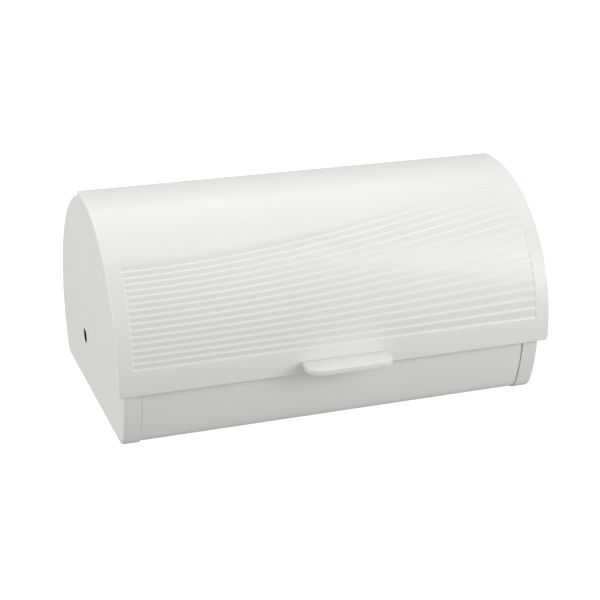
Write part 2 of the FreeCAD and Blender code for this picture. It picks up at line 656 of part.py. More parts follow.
def lid_handle():
    """Moulded finger tab that seats on the lid's curve."""
    body = new_body("lid_handle")
    behind = "lid_y - lid_radius + handle_thick"
    corners = [("-handle_width / 2", "handle_front"), ("handle_width / 2", "handle_front"),
               ("handle_width / 2", behind), ("-handle_width / 2", behind)]
    pad(body, outline(body, "lid_handle_tab_sketch", "XY_Plane", "handle_low", corners), "handle_thick")
    front = number("handle_front")
    round_edges(body, "lid_handle_corners", "handle_corner",
                lambda edge: edge.BoundBox.YMax < front + 1e-6 and edge.BoundBox.XMax - edge.BoundBox.XMin < 1e-6)
    rear = number(behind)
    flat = lambda edge: edge.BoundBox.ZMax - edge.BoundBox.ZMin < 1e-6 and edge.BoundBox.YMin < rear - 1e-6
    round_edges(body, "lid_handle_edges", "handle_edge", flat)
    seat = circles(body, "lid_handle_seat_sketch", "YZ_Plane", "0",
                   [("2 * (lid_radius + weld_gap)", "lid_y", "lid_z")])
    pocket(body, seat, "handle_width + 2", 0)
    tools = [rod(f"lid_handle_pilot_{name}", "screw_dia + 2 * screw_fit", "handle_screw_long + 1",
                 (f"{side} * handle_screw_pitch / 2", "handle_seat", "handle_mid"), [("1; 0; 0", "90")])
             for name, side in SIDES]
    return cut_away("lid_handle", body, tools)


def handle_screws():
    """Screws through the lid into the handle, their heads inside the lid."""
    pieces = []
    for name, side in SIDES:
        across = f"{side} * handle_screw_pitch / 2"
        forward = [("1; 0; 0", "90")]
        head = (across, "handle_seat + weld_gap + screw_head_thick", "handle_mid")
        pieces.append(rod(f"handle_screw_head_{name}", "screw_head_dia", "screw_head_thick", head, forward))
        shank = (across, "handle_seat + weld_gap", "handle_mid")
        pieces.append(rod(f"handle_screw_shank_{name}", "screw_dia", "handle_screw_long", shank, forward))
    return joined("handle_screws", pieces)


def lid_arm(name, side):
    """Steel strip from the pivot to the lid, with an eye on the pin and a foot bent along the lid."""
    body = new_body(f"lid_arm_{name}")
    outside = ("YZ_Plane", f"{side} * arm_x")
    half = "arm_width / 2"
    corners = [beside_arm(f"-({half})", "0"), on_arm(f"-({half})", "foot_middle"),
               on_arm(half, "foot_middle"), beside_arm(half, "0")]
    strip = outline(body, f"{body.Name}_strip_sketch", *outside, corners, {1: ("foot_middle", LID_AXIS)})
    pad(body, strip, "arm_thick", -side)
    eye = circles(body, f"{body.Name}_eye_sketch", *outside, [("arm_eye", "pivot_y", "pivot_z")])
    pad(body, eye, "arm_thick", -side)
    half = "arm_foot_long / 2"
    corners = [on_arm(f"-({half})", "foot_inner"), on_arm(f"-({half})", "foot_outer"),
               on_arm(half, "foot_outer"), on_arm(half, "foot_inner")]
    arcs = {1: ("foot_outer", LID_AXIS), 3: ("foot_inner", LID_AXIS)}
    pad(body, outline(body, f"{body.Name}_foot_sketch", *outside, corners, arcs), "arm_foot_wide", -side)
    bore = circles(body, f"{body.Name}_bore_sketch", *outside, [("pin_dia + 2 * pin_fit", "pivot_y", "pivot_z")])
    pocket(body, bore, "arm_thick", -side)
    return body


# ------------------------------------------------------------------ build, test and write


def build():
    fill_sheet()
    nodes = [front_panel(), back_shell(), base_pan(), base_screws(), rear_screws()]
    nodes += [lid(), lid_handle(), handle_screws()]
    for name, side in SIDES:
        for make in (side_panel, pivot_pin, pivot_spacer, pivot_nut, closed_bumper, open_stop, lid_arm):
            nodes.append(make(name, side))
        nodes += [rubber_foot(row, way, name, side) for row, way in ROWS]
    doc.recompute()
    return nodes


def check(nodes):
    failed = [thing.Name for thing in doc.Objects if {"Invalid", "Error"} & set(thing.State)]
    failed += [node.Label for node in nodes if node.Shape.isNull() or not node.Shape.isValid()]
    if failed:
        raise RuntimeError("failed: " + ", ".join(failed))


def write(nodes):
    os.makedirs("parts", exist_ok=True)
    for node in nodes:
        node.Shape.exportStep(f"parts/{node.Label}.step")
        box = node.Shape.BoundBox
        sides = f"{box.XLength:8.2f} {box.YLength:8.2f} {box.ZLength:8.2f}"
        print(f"{node.Label:22s} {len(node.Shape.Solids)} solids {node.Shape.Volume:12.1f} mm3 {sides}")


nodes = build()
check(nodes)
write(nodes)
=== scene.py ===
"""Bread box with a one-piece swing lid: white powder-coated steel between two moulded end panels."""
import json
from math import acos, asin, atan2, cos, pi, radians, sin, sqrt

import bmesh
import bpy
from mathutils import Matrix, Vector


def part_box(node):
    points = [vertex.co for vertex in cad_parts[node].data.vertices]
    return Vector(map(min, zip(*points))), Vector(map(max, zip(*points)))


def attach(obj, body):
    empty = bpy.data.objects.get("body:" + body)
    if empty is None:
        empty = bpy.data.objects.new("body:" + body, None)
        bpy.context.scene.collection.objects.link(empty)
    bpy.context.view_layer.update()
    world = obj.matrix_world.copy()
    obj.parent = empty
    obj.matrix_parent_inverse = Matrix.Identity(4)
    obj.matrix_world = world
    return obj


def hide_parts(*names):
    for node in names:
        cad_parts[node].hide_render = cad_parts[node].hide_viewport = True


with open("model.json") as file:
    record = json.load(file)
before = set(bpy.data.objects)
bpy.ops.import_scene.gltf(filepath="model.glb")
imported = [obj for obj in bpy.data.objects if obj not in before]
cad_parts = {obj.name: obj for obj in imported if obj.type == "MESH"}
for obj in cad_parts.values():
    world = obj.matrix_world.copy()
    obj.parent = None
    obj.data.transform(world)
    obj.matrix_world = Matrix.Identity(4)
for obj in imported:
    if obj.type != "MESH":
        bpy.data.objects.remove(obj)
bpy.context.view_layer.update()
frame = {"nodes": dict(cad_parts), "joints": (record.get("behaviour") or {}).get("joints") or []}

# ---------------------------------------------------------------- lid
# The lid is one sheet of 0.8 mm steel. Sixteen steps that fan out to the right are pressed into the flat
# sheet, its edges are turned in as a hem, it is rolled to a little over a quarter round, and it is powder
# coated.

MM = 0.001
NEAR = 0.001 * MM  # places closer than this are one place
SHEET = 0.8 * MM
LID_RADIUS = 129.8 * MM
LID_FRONT, LID_REAR = radians(-5.5), radians(95.5)
LID_CORNER = 2.5 * MM
CORNER_PARTS = 8
HEM_BEND = 0.8 * MM
HEM_PARTS = 3
HEM_DEPTH = 3.8 * MM

STEPS = 16
STEP_LOW = radians(5.0)
STEP_PITCH_LEFT, STEP_PITCH_RIGHT = radians(2.475), radians(4.09)
FAN_START, FAN_END = -180 * MM, 188 * MM
FAN_EARLY = 0.2  # how much sooner than by its square alone the fan opens
STEP_END = 187.6 * MM
STEP_RUN_OUT = 2.2 * MM
LEDGE_HALF = 1.1 * MM
STEP_DEPTH = 1.0 * MM
CLOSE_START, CLOSE_END = 184 * MM, 188 * MM  # the stretch where the steps run out, with close columns

lid_low, lid_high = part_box("lid")
lid_half = (lid_high.x - lid_low.x) / 2
lid_axis = (lid_low.y + LID_RADIUS, lid_high.z - LID_RADIUS)


def spread(start, stop, count):
    """Evenly spaced values from start up to, but without, stop."""
    return [start + (stop - start) * i / count for i in range(count)]


def quarter(radius, parts):
    """Points on a quarter round, each as how far it has come along its start's tangent and across it."""
    turns = [pi / 2 * i / parts for i in range(parts + 1)]
    return [(radius * sin(turn), radius * (1 - cos(turn))) for turn in turns]


def step_pitch(x):
    """The angle from one step to the next, which opens to the right along a slow curve."""
    along = min(max((x - FAN_START) / (FAN_END - FAN_START), 0), 1)
    return STEP_PITCH_LEFT + (STEP_PITCH_RIGHT - STEP_PITCH_LEFT) * along ** 2 * (1 + FAN_EARLY * (1 - along))


def smooth(share):
    """From 0 to 1 with a soft start and a soft end."""
    return (1 - cos(pi * min(max(share, 0), 1))) / 2


def step_depth(x, up, pitch):
    """How far the sheet is pressed in at a distance up from the middle of a ledge. It is deepest above
    the ledge and comes back level at the next one, and it runs out before the lid's ends."""
    if up < LEDGE_HALF:
        share = smooth((up + LEDGE_HALF) / (2 * LEDGE_HALF))
    else:
        share = 1 - (up - LEDGE_HALF) / (pitch - 2 * LEDGE_HALF)
    return STEP_DEPTH * max(share, 0) * smooth((STEP_END - abs(x)) / STEP_RUN_OUT)


def flat_grid(columns, rows):
    """A flat grid with a vertex for each column and row, and those two numbers for each vertex."""
    mesh = bmesh.new()
    bmesh.ops.create_grid(mesh, x_segments=columns - 1, y_segments=rows - 1, size=0.5)
    spots = {vertex: (round((vertex.co.x + 0.5) * (columns - 1)), round((vertex.co.y + 0.5) * (rows - 1)))
             for vertex in mesh.verts}
    return mesh, spots


def extend(mesh, edges):
    """Extrude edges and return the vertices and the edges that arrive."""
    out = bmesh.ops.extrude_edge_only(mesh, edges=edges)["geom"]
    tips = [item for item in out if isinstance(item, bmesh.types.BMVert)]
    known = set(tips)
    return tips, [item for item in out
                  if isinstance(item, bmesh.types.BMEdge) and known.issuperset(item.verts)]


def turn_in(mesh, core, moves):
    """Turn in the open edges as a hem. core is the half width, the front and the rear of the flat inside
    the corner rounds; moves gives how far each new ring stands out of the last one and how far below it."""
    half, front, rear = core
    rim = [edge for edge in mesh.edges if edge.is_boundary]
    for outward, down in moves:
        tips, rim = extend(mesh, rim)
        for vertex in tips:
            near = Vector((min(max(vertex.co.x, -half), half), min(max(vertex.co.y, front), rear), 0))
            away = Vector((vertex.co.x, vertex.co.y, 0)) - near
            vertex.co += away.normalized() * outward
            vertex.co.z -= down


def thicken(mesh, wall):
    """Give the sheet its wall, inside the skin that is there."""
    bmesh.ops.recalc_face_normals(mesh, faces=mesh.faces)
    if sum(face.normal.z * face.calc_area() for face in mesh.faces) < 0:
        bmesh.ops.reverse_faces(mesh, faces=mesh.faces)
    bmesh.ops.solidify(mesh, geom=mesh.faces[:], thickness=wall)


def roll(mesh, axis, radius):
    """Roll a flat sheet, x along the axis, y round it from the front and z out of it."""
    for vertex in mesh.verts:
        angle = vertex.co.y / radius
        reach = radius + vertex.co.z
        vertex.co.y = axis[0] - reach * cos(angle)
        vertex.co.z = axis[1] + reach * sin(angle)


def finished(name, mesh, sharp=40):
    """The mesh as an object with smooth faces, creased only where it turns by more than sharp degrees."""
    bmesh.ops.remove_doubles(mesh, verts=mesh.verts[:], dist=NEAR)
    bmesh.ops.recalc_face_normals(mesh, faces=mesh.faces)
    for face in mesh.faces:
        face.smooth = True
    for edge in mesh.edges:
        edge.smooth = edge.is_manifold and edge.calc_face_angle(0) < radians(sharp)
    data = bpy.data.meshes.new(name)
    mesh.to_mesh(data)
    mesh.free()
    piece = bpy.data.objects.new(name, data)
    bpy.context.scene.collection.objects.link(piece)
    return piece


def pressed_lid():
    """The lid's skin, hem and wall."""
    edge, corner = lid_half - HEM_BEND, LID_CORNER - HEM_BEND
    front, rear = LID_FRONT * LID_RADIUS + HEM_BEND, LID_REAR * LID_RADIUS - HEM_BEND
    lowest = STEP_LOW * LID_RADIUS
    corner_round = quarter(corner, CORNER_PARTS)
    right = (spread(0, CLOSE_START, count=46) + spread(CLOSE_START, CLOSE_END, count=10)
             + spread(CLOSE_END, edge - corner, count=4))
    right += [edge - corner + along for along, rise in corner_round]
    across = [-x for x in reversed(right[1:])] + right

    def rows_at(x):
        """Distances round the lid of every row at one column, each with the depth it is pressed in."""
        pitch = step_pitch(x) * LID_RADIUS
        rows = [(front + rise, 0) for along, rise in corner_round[:-1]]
        rows += [(s, 0) for s in spread(front + corner, lowest - LEDGE_HALF, count=6)]
        for step in range(STEPS):
            middle = lowest + step * pitch
            ups = spread(-LEDGE_HALF, LEDGE_HALF, count=8) + spread(LEDGE_HALF, pitch - LEDGE_HALF, count=5)
            rows += [(middle + up, step_depth(x, up, pitch)) for up in ups]
        rows += [(s, 0) for s in spread(lowest + STEPS * pitch - LEDGE_HALF, rear - corner, count=40)]
        return rows + [(rear - rise, 0) for along, rise in reversed(corner_round)]

    table = [rows_at(x) for x in across]
    mesh, spots = flat_grid(len(across), len(table[0]))
    for vertex, (column, row) in spots.items():
        x = across[column]
        s, depth = table[column][row]
        past = max(abs(x) - (edge - corner), 0)
        cut = corner - sqrt(max(corner ** 2 - past ** 2, 0))
        near = min(s - front, rear - s)
        if near < corner:  # the rows by an end close up to leave the corner round free
            squeezed = cut + near * (corner - cut) / corner
            s = front + squeezed if s - front < corner else rear - squeezed
        vertex.co = (x, s, -depth)
    bmesh.ops.remove_doubles(mesh, verts=mesh.verts[:], dist=NEAR)
    bend = quarter(HEM_BEND, HEM_PARTS)
    moves = [(stop[0] - start[0], stop[1] - start[1]) for start, stop in zip(bend, bend[1:])]
    turn_in(mesh, (edge - corner, front + corner, rear - corner), moves + [(0, HEM_DEPTH - HEM_BEND)])
    thicken(mesh, SHEET)
    roll(mesh, lid_axis, LID_RADIUS)
    return finished("pressed_lid", mesh)


lid = pressed_lid()
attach(lid, "lid")
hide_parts("lid")


def linear(colour):
    """An sRGB hex colour as linear red, green, blue and alpha."""
    parts = [int(colour[i:i + 2], 16) / 255 for i in (1, 3, 5)]
    return [c / 12.92 if c <= 0.04045 else ((c + 0.055) / 1.055) ** 2.4 for c in parts] + [1.0]


def add_node(tree, kind, inputs=None, links=None, **settings):
    """One shader node with its settings, its input values and the sockets that feed it."""
    node = tree.nodes.new("ShaderNode" + kind)
    for name, value in settings.items():
        setattr(node, name, value)
    for name, value in (inputs or {}).items():
        node.inputs[name].default_value = value
    for name, socket in (links or {}).items():
        tree.links.new(socket, node.inputs[name])
    return node


def new_material(name):
    """A material with an empty node tree, and that tree."""
    material = bpy.data.materials.new(name)
    material.use_nodes = True
    material.node_tree.nodes.clear()
    return material, material.node_tree


MIX_FACTOR, MIX_A, MIX_B, MIX_RESULT = 0, 6, 7, 2  # a Mix node's sockets when it mixes colours
COAT_CLOUD = 60 * MM
COAT_PEEL, COAT_PEEL_HEIGHT = 1.6 * MM, 0.03 * MM
COAT_GRAIN, COAT_GRAIN_HEIGHT = 0.35 * MM, 0.01 * MM
COAT_GLOSS_SPREAD = 0.03


def powder_coat(name, colour, shade, gloss):
    """Polyester powder coat, sprayed and baked on steel. A fine orange peel breaks its highlights up softly
    and a faint cloud keeps its tone from looking dead. colour and shade are its usual and its darkest tone,
    and gloss is its roughness."""
    material, tree = new_material(name)
    place = add_node(tree, "TexCoord").outputs["Object"]
    cloud = add_node(tree, "TexNoise", {"Scale": 1 / COAT_CLOUD, "Detail": 3.0}, {"Vector": place})
    tone = add_node(tree, "Mix", {MIX_A: linear(shade), MIX_B: linear(colour)},
                    {MIX_FACTOR: cloud.outputs["Fac"]}, data_type="RGBA")
    peel = add_node(tree, "TexNoise", {"Scale": 1 / COAT_PEEL, "Detail": 2.0}, {"Vector": place})
    grain = add_node(tree, "TexNoise", {"Scale": 1 / COAT_GRAIN, "Detail": 1.0}, {"Vector": place})
    peel_bump = add_node(tree, "Bump", {"Strength": 0.35, "Distance": COAT_PEEL_HEIGHT},
                         {"Height": peel.outputs["Fac"]})
    grain_bump = add_node(tree, "Bump", {"Strength": 0.25, "Distance": COAT_GRAIN_HEIGHT},
                          {"Height": grain.outputs["Fac"], "Normal": peel_bump.outputs["Normal"]})
    rough = add_node(tree, "MapRange",
                     {"To Min": gloss - COAT_GLOSS_SPREAD, "To Max": gloss + COAT_GLOSS_SPREAD},
                     {"Value": peel.outputs["Fac"]})
    shader = add_node(tree, "BsdfPrincipled", {"IOR": 1.5, "Specular IOR Level": 0.5},
                      {"Base Color": tone.outputs[MIX_RESULT], "Roughness": rough.outputs["Result"],
                       "Normal": grain_bump.outputs["Normal"]})
    add_node(tree, "OutputMaterial", links={"Surface": shader.outputs["BSDF"]})
    return material


# The lid's coat is the smoother one, so a soft sheen runs along the round and lights each step's ledge.
lid_coat = powder_coat("white_powder_coat_lid", "#F1F0EC", "#ECEBE6", gloss=0.30)
lid.data.materials.append(lid_coat)

# ---------------------------------------------------------------- handle
# The handle is a solid finger tab moulded in white ABS, with rounded front corners. Its back follows the
# lid's curve, and two screws from inside the lid hold it.

TAB_CORNER = 12.5 * MM
TAB_EDGE = 1.4 * MM
TAB_SEAM = 1.2 * MM
TAB_PLAY = 0.05 * MM

tab_low, tab_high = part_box("lid_handle")


def block_between(low, high):
    """A block between two corners."""
    mesh = bmesh.new()
    bmesh.ops.create_cube(mesh, size=1)
    bmesh.ops.scale(mesh, vec=Vector(high) - Vector(low), verts=mesh.verts)
    bmesh.ops.translate(mesh, vec=(Vector(high) + Vector(low)) / 2, verts=mesh.verts)
    return mesh


def soften(mesh, edges, offset, segments):
    """Round the edges."""
    return bmesh.ops.bevel(mesh, geom=list(edges), offset=offset, offset_type="OFFSET", segments=segments,
                           profile=0.5, affect="EDGES", material=-1, clamp_overlap=True)


def finger_tab():
    """The tab: a block with its front corners, its long edges and the edge round its back rounded, and
    then its back bent to the lid."""
    mesh = block_between(tab_low, tab_high)
    corners = [edge for edge in mesh.edges
               if all(abs(v.co.y - tab_low.y) < NEAR for v in edge.verts)
               and abs(edge.verts[0].co.x - edge.verts[1].co.x) < NEAR]
    soften(mesh, corners, TAB_CORNER, segments=12)
    long_edges = [edge for edge in mesh.edges
                  if abs(edge.verts[0].co.z - edge.verts[1].co.z) < NEAR
                  and not all(v.co.y > tab_high.y - NEAR for v in edge.verts)]
    soften(mesh, long_edges, TAB_EDGE, segments=5)
    back = [edge for edge in mesh.edges if edge.is_manifold
            and all(v.co.y > tab_high.y - NEAR for v in edge.verts)
            and any(face.calc_center_median().y < tab_high.y - NEAR for face in edge.link_faces)]
    soften(mesh, back, TAB_SEAM, segments=2)
    for vertex in mesh.verts:
        if vertex.co.y > tab_high.y - TAB_SEAM - NEAR:
            seat = lid_axis[0] - sqrt((LID_RADIUS + TAB_PLAY) ** 2 - (vertex.co.z - lid_axis[1]) ** 2)
            vertex.co.y += seat - tab_high.y
    return finished("finger_tab", mesh, sharp=60)


handle = finger_tab()
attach(handle, "lid")
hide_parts("lid_handle")

ABS_CLOUD = 45 * MM
ABS_GRAIN, ABS_GRAIN_HEIGHT = 0.6 * MM, 0.02 * MM


def moulded_plastic(name, colour, shade, gloss):
    """Injection-moulded ABS with the fine even grain of a spark-eroded mould, drawn at 0.6 mm, as a real
    one of about 0.1 mm is too fine to show. colour and shade are its usual and its darkest tone, and gloss
    is its roughness."""
    material, tree = new_material(name)
    place = add_node(tree, "TexCoord").outputs["Object"]
    cloud = add_node(tree, "TexNoise", {"Scale": 1 / ABS_CLOUD, "Detail": 4.0}, {"Vector": place})
    tone = add_node(tree, "Mix", {MIX_A: linear(shade), MIX_B: linear(colour)},
                    {MIX_FACTOR: cloud.outputs["Fac"]}, data_type="RGBA")
    spark = add_node(tree, "TexVoronoi", {"Scale": 1 / ABS_GRAIN}, {"Vector": place}, feature="SMOOTH_F1")
    bump = add_node(tree, "Bump", {"Strength": 0.2, "Distance": ABS_GRAIN_HEIGHT},
                    {"Height": spark.outputs["Distance"]})
    shader = add_node(tree, "BsdfPrincipled", {"Roughness": gloss, "IOR": 1.53},
                      {"Base Color": tone.outputs[MIX_RESULT], "Normal": bump.outputs["Normal"]})
    add_node(tree, "OutputMaterial", links={"Surface": shader.outputs["BSDF"]})
    return material


# The moulded white is duller than the coats, so the tab and the ends look flat and even beside them.
white_abs = moulded_plastic("white_moulded_abs", "#EDECE8", "#E8E7E2", gloss=0.42)
handle.data.materials.append(white_abs)

# ---------------------------------------------------------------- side panels
# Each end is one moulding in white ABS: a shallow D-shaped tray whose rim shows beside the sheets.
# Inside it has a land that the sheets lie on, a boss for the pivot pin and bosses for the base screws.

PANEL_RADIUS = 130.7 * MM
PANEL_CORNER = 17.0 * MM
PANEL_EDGE = 3.0 * MM
PANEL_WALL = 2.5 * MM
RIM_WIDTH = 16.0 * MM
RIM_SEAM = 0.4 * MM
RIM_STEP = 1.1 * MM
LAP_GAP = 0.1 * MM
LAND_INSET = RIM_STEP + SHEET + LAP_GAP
LAND_WALL = 2.3 * MM
RECESS_RADIUS = 7.0 * MM
RECESS_DEPTH = 5.0 * MM
RECESS_EDGE = 0.4 * MM
RECESS_SEGMENTS = 64
BORE_RADIUS = 3.05 * MM
BOSS_RADIUS = 9.0 * MM
BOSS_END = 21.5 * MM
SCREW_BOSS_RADIUS = 3.5 * MM
SCREW_BOSS_HEIGHT = 6.0 * MM
BASE_SCREW_PITCH = 80 * MM
SHELL_LEAD = 8.0 * MM  # how far in front of the box's axis the back shell starts

panel_low, panel_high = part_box("side_panel_right")
body_axis = ((panel_low.y + panel_high.y) / 2, panel_high.z - PANEL_RADIUS)
panel_face = panel_high.x
land_x = panel_low.x
rim_x = panel_face - RIM_WIDTH
screw_x = (land_x + rim_x) / 2
hinge = frame["joints"][0]
pivot = (hinge["pos_m"][1], hinge["pos_m"][2])
front_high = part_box("front_panel")[1]


def spin_on(mesh, geometry, centre, angle, steps):
    """Carry geometry round a line along X through centre, and return what arrives."""
    turned = bmesh.ops.spin(mesh, geom=geometry, cent=(0, *centre), axis=(1, 0, 0), angle=angle, steps=steps,
                            use_merge=False, use_duplicate=False)
    return turned["geom_last"]


def lower_turn(radius, floor, corner):
    """Where the round of that radius meets its bottom corner round: how far out that round's centre is,
    and how far below the level line its start is."""
    drop = body_axis[1] - floor - corner
    reach = sqrt((radius - corner) ** 2 - drop ** 2)
    return reach, atan2(drop, reach)


def d_outline(mesh, x, radius, floor, corner):
    """A face in the shape of a round with a flat bottom and two rounded corners."""
    reach, turn = lower_turn(radius, floor, corner)
    last = [mesh.verts.new((x, body_axis[0] + reach, floor))]
    last = spin_on(mesh, last, (body_axis[0] + reach, floor + corner), pi / 2 - turn, steps=16)
    last = spin_on(mesh, last, body_axis, pi + 2 * turn, steps=200)
    spin_on(mesh, last, (body_axis[0] - reach, floor + corner), pi / 2 - turn, steps=16)
    return bmesh.ops.contextual_create(mesh, geom=mesh.verts[:] + mesh.edges[:])["faces"][0]


def push(mesh, faces, offset):
    """Extrude faces by an offset and return the faces that arrive. The faces themselves stay."""
    out = bmesh.ops.extrude_face_region(mesh, geom=faces)["geom"]
    moved = [item for item in out if isinstance(item, bmesh.types.BMVert)]
    bmesh.ops.translate(mesh, verts=moved, vec=offset)
    return [item for item in out if isinstance(item, bmesh.types.BMFace)]


def circle(mesh, radius, segments, matrix):
    """The edges of a new circle."""
    corners = set(bmesh.ops.create_circle(mesh, cap_ends=False, radius=radius, segments=segments,
                                          matrix=matrix)["verts"])
    return [edge for edge in mesh.edges if corners.issuperset(edge.verts)]


def facing_along_pivot(x):
    """The placing, at x, of a circle that faces along the pivot's line."""
    return Matrix.Translation((x, *pivot)) @ Matrix.Rotation(pi / 2, 4, "Y")


def ring_in(mesh, edges, x_shift, radius):
    """Extrude a ring of edges along X, draw it to a new radius about the pivot and return it."""
    tips, edges = extend(mesh, edges)
    for vertex in tips:
        arm = Vector((vertex.co.y - pivot[0], vertex.co.z - pivot[1])).normalized() * radius
        vertex.co = (vertex.co.x + x_shift, pivot[0] + arm.x, pivot[1] + arm.y)
    return edges


def end_panel(name, side):
    """The tray with all that is moulded on it, made on the right-hand side and mirrored for the left."""
    mesh = bmesh.new()
    outer = d_outline(mesh, panel_face, PANEL_RADIUS, panel_low.z, PANEL_CORNER)
    inner = push(mesh, [outer], (-RIM_WIDTH, 0, 0))[0]
    bmesh.ops.inset_region(mesh, faces=[inner], thickness=PANEL_WALL, use_even_offset=True)
    push(mesh, [inner], (RIM_WIDTH - PANEL_WALL, 0, 0))
    bmesh.ops.delete(mesh, geom=[inner], context="FACES_ONLY")
    outer_edge = [edge for edge in mesh.edges if all(abs(v.co.x - panel_face) < NEAR for v in edge.verts)]
    soften(mesh, outer_edge, PANEL_EDGE, segments=6)
    seam = [edge for edge in mesh.edges if all(abs(v.co.x - rim_x) < NEAR for v in edge.verts)
            and any(abs(face.normal.x) < 0.5 for face in edge.link_faces)]
    soften(mesh, seam, RIM_SEAM, segments=2)
    add_pivot_boss(mesh)
    add_land(mesh)
    add_screw_bosses(mesh)
    if side < 0:
        bmesh.ops.scale(mesh, vec=(-1, 1, 1), verts=mesh.verts)
    return finished(f"end_panel_{name}", mesh)


def add_pivot_boss(mesh):
    """The recess for the pin's head, its bore and the boss round it, let into the outer face."""
    face = max((face for face in mesh.faces if abs(face.calc_center_median().x - panel_face) < NEAR),
               key=lambda face: face.calc_area())
    border = face.edges[:]
    bmesh.ops.delete(mesh, geom=[face], context="FACES_ONLY")
    ring = circle(mesh, RECESS_RADIUS + RECESS_EDGE, RECESS_SEGMENTS, facing_along_pivot(panel_face))
    bmesh.ops.triangle_fill(mesh, edges=border + ring, use_beauty=True, use_dissolve=False, normal=(1, 0, 0))
    for x_shift, radius in ((-RECESS_EDGE, RECESS_RADIUS), (RECESS_EDGE - RECESS_DEPTH, RECESS_RADIUS),
                            (0, BORE_RADIUS), (RECESS_DEPTH - BOSS_END, BORE_RADIUS),
                            (0, BOSS_RADIUS), (BOSS_END - PANEL_WALL, BOSS_RADIUS)):
        ring = ring_in(mesh, ring, x_shift, radius)


def add_land(mesh):
    """The inner ledge that the sheets lie on, from the front panel's top round to the back shell's edge."""
    outer = PANEL_RADIUS - LAND_INSET
    inner = outer - LAND_WALL
    floor = panel_low.z + LAND_INSET
    corner = PANEL_CORNER - LAND_INSET
    top = front_high.z - SHEET - LAP_GAP - body_axis[1]
    start = atan2(top, sqrt(outer ** 2 - top ** 2))
    stop = atan2(sqrt(outer ** 2 - SHELL_LEAD ** 2), SHELL_LEAD - SHEET - LAP_GAP)
    reach, turn = lower_turn(outer, floor, corner)
    profile = [mesh.verts.new((x, body_axis[0] - r * cos(start), body_axis[1] + r * sin(start)))
               for x, r in ((land_x, outer), (land_x, inner), (panel_face - PANEL_WALL, inner),
                            (panel_face - PANEL_WALL, outer))]
    last = [mesh.faces.new(profile)]
    last = spin_on(mesh, last, body_axis, start + turn, steps=30)
    last = spin_on(mesh, last, (body_axis[0] - reach, floor + corner), pi / 2 - turn, steps=12)
    last = push(mesh, [item for item in last if isinstance(item, bmesh.types.BMFace)], (0, 2 * reach, 0))
    last = spin_on(mesh, last, (body_axis[0] + reach, floor + corner), pi / 2 - turn, steps=12)
    spin_on(mesh, last, body_axis, turn + pi - stop, steps=90)


def add_screw_bosses(mesh):
    """Three posts on the land's floor."""
    floor = panel_low.z + LAND_INSET + LAND_WALL
    for step in (-1, 0, 1):
        spot = (screw_x, body_axis[0] + step * BASE_SCREW_PITCH, floor + SCREW_BOSS_HEIGHT / 2)
        bmesh.ops.create_cone(mesh, cap_ends=True, segments=32, radius1=SCREW_BOSS_RADIUS,
                              radius2=SCREW_BOSS_RADIUS, depth=SCREW_BOSS_HEIGHT,
                              matrix=Matrix.Translation(spot))


def keep_flats(piece):
    """Shade broad flat faces flat where they meet a round edge."""
    flats = piece.modifiers.new("flats", "WEIGHTED_NORMAL")
    flats.keep_sharp = True


for name, side in (("left", -1), ("right", 1)):
    panel = end_panel(name, side)
    keep_flats(panel)
    panel.data.materials.append(white_abs)
    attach(panel, "box")
    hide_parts(f"side_panel_{name}")

# ---------------------------------------------------------------- curved sheets of the box
# The front panel and the back shell are rolled steel sheets, powder coated, their ends held on the side
# panels' lands. Each has a return flange at the mouth and a flange that lies on the base pan.

SHEET_RADIUS = PANEL_RADIUS - RIM_STEP
SHEET_CORNER = PANEL_CORNER - RIM_STEP
FLANGE_BEND = 1.2 * MM
FLANGE_DEPTH = 8.0 * MM
FOOT_FLANGE = 12.0 * MM
FOOT_START = 4.9 * MM  # how far out of the bottom corner round's centre the foot flange starts
SHEET_STOP = 1.5 * MM  # how far out of that centre the curved sheet ends
FOOT_GAP = 1.0 * MM
SEAM_GAP = 0.5 * MM
ROUND_STEP = radians(1.2)

sheet_half = rim_x - SEAM_GAP
foot_half = land_x - FOOT_GAP
pan_low, pan_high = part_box("base_pan")


def rolled_sheet(name, side, mouth):
    """A sheet from its mouth flange, at the angle mouth above the level line, down to its foot on the base
    pan. An edge as long as the sheet is thick is swept round the bends for its section, which is then
    extruded along X. side is 1 for the rear and -1 for the front."""
    mesh = bmesh.new()
    inward = Vector((0, -side * cos(mouth), -sin(mouth)))
    along = Vector((0, side * sin(mouth), -cos(mouth)))
    top = Vector((0, *body_axis)) - inward * SHEET_RADIUS
    flange_end = [mesh.verts.new(top + inward * FLANGE_DEPTH + along * depth) for depth in (0, SHEET)]
    tips, last = extend(mesh, [mesh.edges.new(flange_end)])
    bmesh.ops.translate(mesh, verts=tips, vec=inward * (FLANGE_BEND - FLANGE_DEPTH))
    last = spin_on(mesh, last, (top + (inward + along) * FLANGE_BEND).yz, -side * pi / 2, steps=6)
    reach, turn = lower_turn(SHEET_RADIUS, pan_low.z, SHEET_CORNER)
    span = mouth + turn - FLANGE_BEND / SHEET_RADIUS
    last = spin_on(mesh, last, body_axis, -side * span, steps=int(span / ROUND_STEP))
    centre = (body_axis[0] + side * reach, pan_low.z + SHEET_CORNER)
    spin_on(mesh, last, centre, -side * (pi / 2 - turn - asin(SHEET_STOP / SHEET_CORNER)), steps=12)
    section = mesh.faces[:]
    foot = mesh.faces.new([mesh.verts.new((0, centre[0] + side * outward, pan_high.z + up)) for outward, up in
                           ((FOOT_START, 0), (FOOT_START, SHEET), (-FOOT_FLANGE, SHEET), (-FOOT_FLANGE, 0))])
    for faces, half in ((section, sheet_half), ([foot], foot_half)):
        bmesh.ops.translate(mesh, verts=list({v for face in faces for v in face.verts}), vec=(-half, 0, 0))
        push(mesh, faces, (2 * half, 0, 0))
    return finished(name, mesh)


